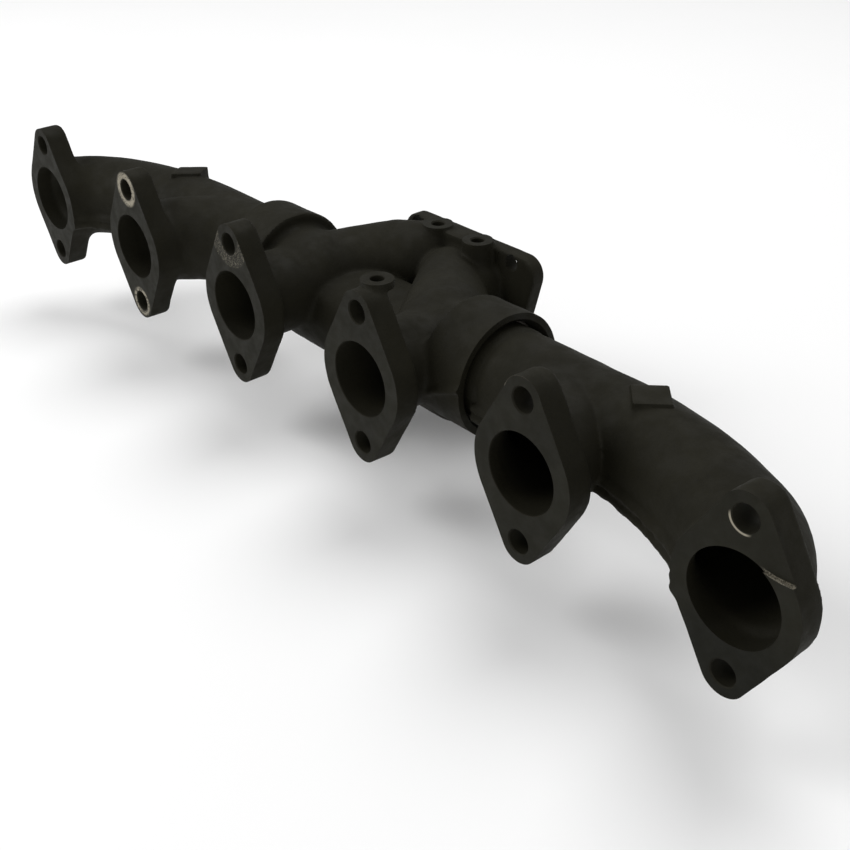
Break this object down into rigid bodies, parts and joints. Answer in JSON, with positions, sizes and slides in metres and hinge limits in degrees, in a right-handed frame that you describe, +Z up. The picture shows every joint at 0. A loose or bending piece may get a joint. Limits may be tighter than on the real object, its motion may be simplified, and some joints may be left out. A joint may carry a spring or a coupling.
{
  "type": "exhaust manifold",
  "caption": "Log-type exhaust manifold cast in sections that slide together in ring-sealed collars, with diamond port flanges and a divided turbocharger flange.",
  "frame": {"origin": "on the cylinder-head face, halfway between ports 3 and 4, at port-centre height", "axes": "+X along the row of ports towards port 6, +Y away from the head to the turbocharger flange, +Z up"},
  "size_m": [0.884, 0.179, 0.137],
  "materials": {
    "casting": "as-cast, matte dark brown-black",
    "ring_steel": "turned"
  },
  "bodies": {
    "centre": {"centre_section": "casting"},
    "front_rings": {"front_seal_ring_1": "ring_steel", "front_seal_ring_2": "ring_steel", "front_seal_ring_3": "ring_steel"},
    "front": {"front_section": "casting"},
    "rear_rings": {"rear_seal_ring_1": "ring_steel", "rear_seal_ring_2": "ring_steel", "rear_seal_ring_3": "ring_steel"},
    "rear": {"rear_section": "casting"}
  },
  "joints": [
    {"name": "front_slide", "type": "slide", "parent": "centre", "child": "front_rings", "axis": [-1, 0, 0], "range_m": [-0.0025, 0.01]},
    {"name": "front_swivel", "type": "hinge", "parent": "front_rings", "child": "front", "pos_m": [-0.125, 0.08, 0], "axis": [1, 0, 0], "continuous": true},
    {"name": "rear_slide", "type": "slide", "parent": "centre", "child": "rear_rings", "axis": [1, 0, 0], "range_m": [-0.0025, 0.01]},
    {"name": "rear_swivel", "type": "hinge", "parent": "rear_rings", "child": "rear", "pos_m": [0.125, 0.08, 0], "axis": [1, 0, 0], "continuous": true}
  ]
}
